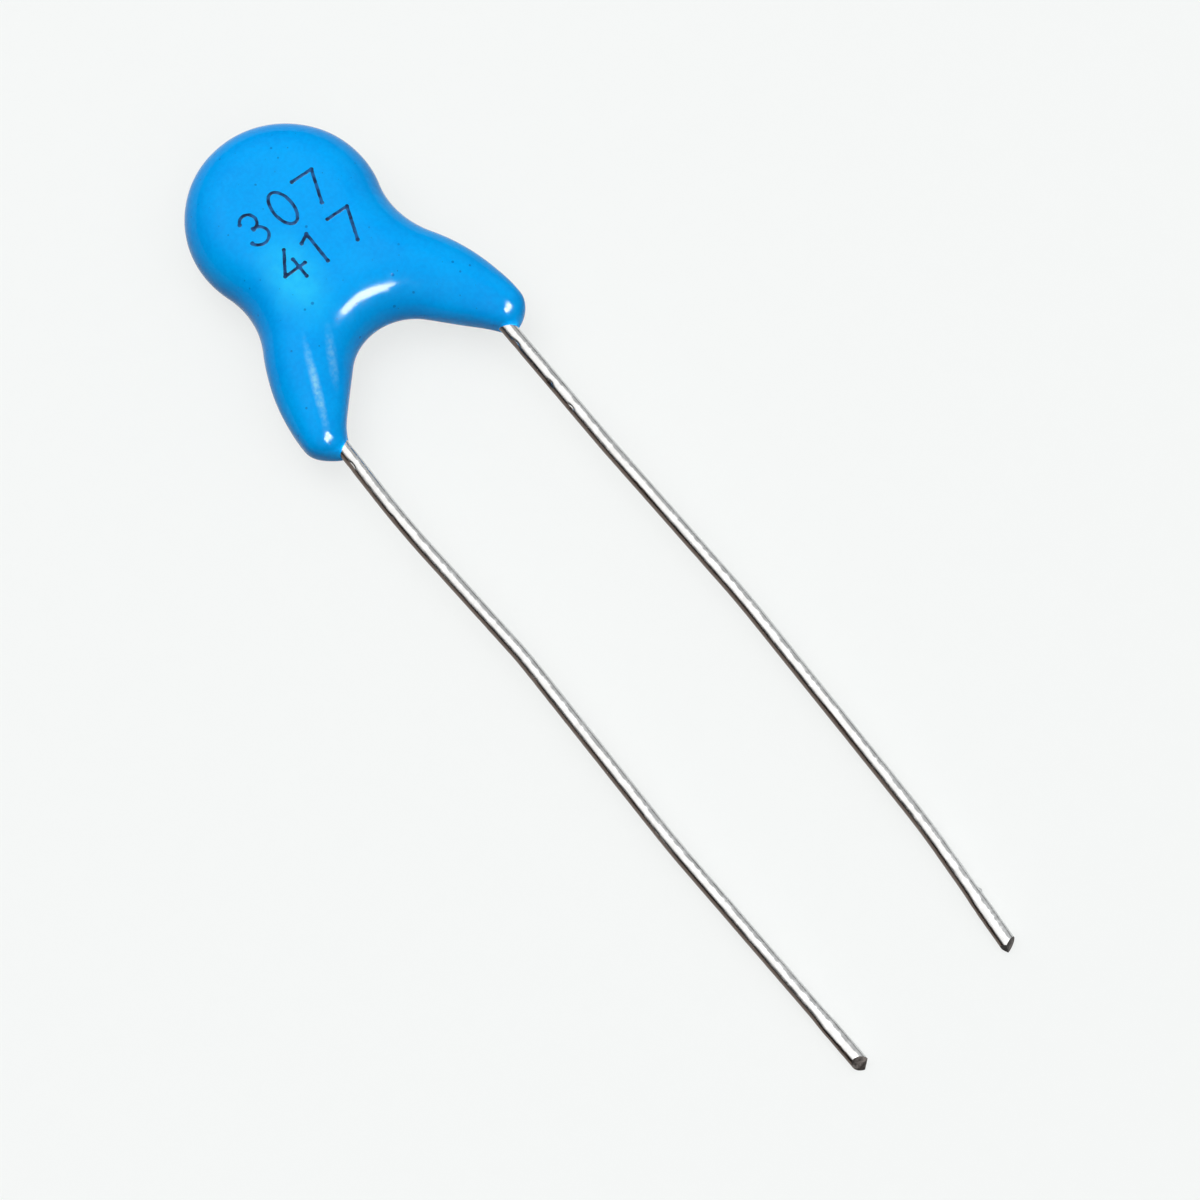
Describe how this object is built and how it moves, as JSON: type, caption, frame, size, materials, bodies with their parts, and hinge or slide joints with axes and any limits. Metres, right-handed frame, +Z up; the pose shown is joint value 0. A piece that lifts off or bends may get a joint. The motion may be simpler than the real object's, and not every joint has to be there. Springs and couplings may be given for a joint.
{
  "type": "ceramic disc capacitor",
  "caption": "Radial ceramic disc capacitor: a glossy blue epoxy coat with a round body and splayed legs, on long tinned wire leads with snipped ends.",
  "frame": {"origin": "on the bench, under the middle of the bounding box", "axes": "+X across the lead pitch, +Y from the lead tips towards the disc, +Z up off the bench"},
  "size_m": [0.0104, 0.0434, 0.0034],
  "materials": {
    "ceramic": "matte fired barium titanate ceramic",
    "silver_electrode": "fired silver layer, satin",
    "tinned_wire": "tinned wire, satin, with fine drawing lines and nicks",
    "solder": "solder, dull satin",
    "epoxy_coating": "glossy dipped epoxy with fine dark specks"
  },
  "bodies": {
    "root": {"ceramic_disc": "ceramic", "front_electrode": "silver_electrode", "back_electrode": "silver_electrode", "left_lead": "tinned_wire", "right_lead": "tinned_wire", "front_solder_joint": "solder", "back_solder_joint": "solder", "epoxy_coating": "epoxy_coating"}
  },
  "joints": []
}
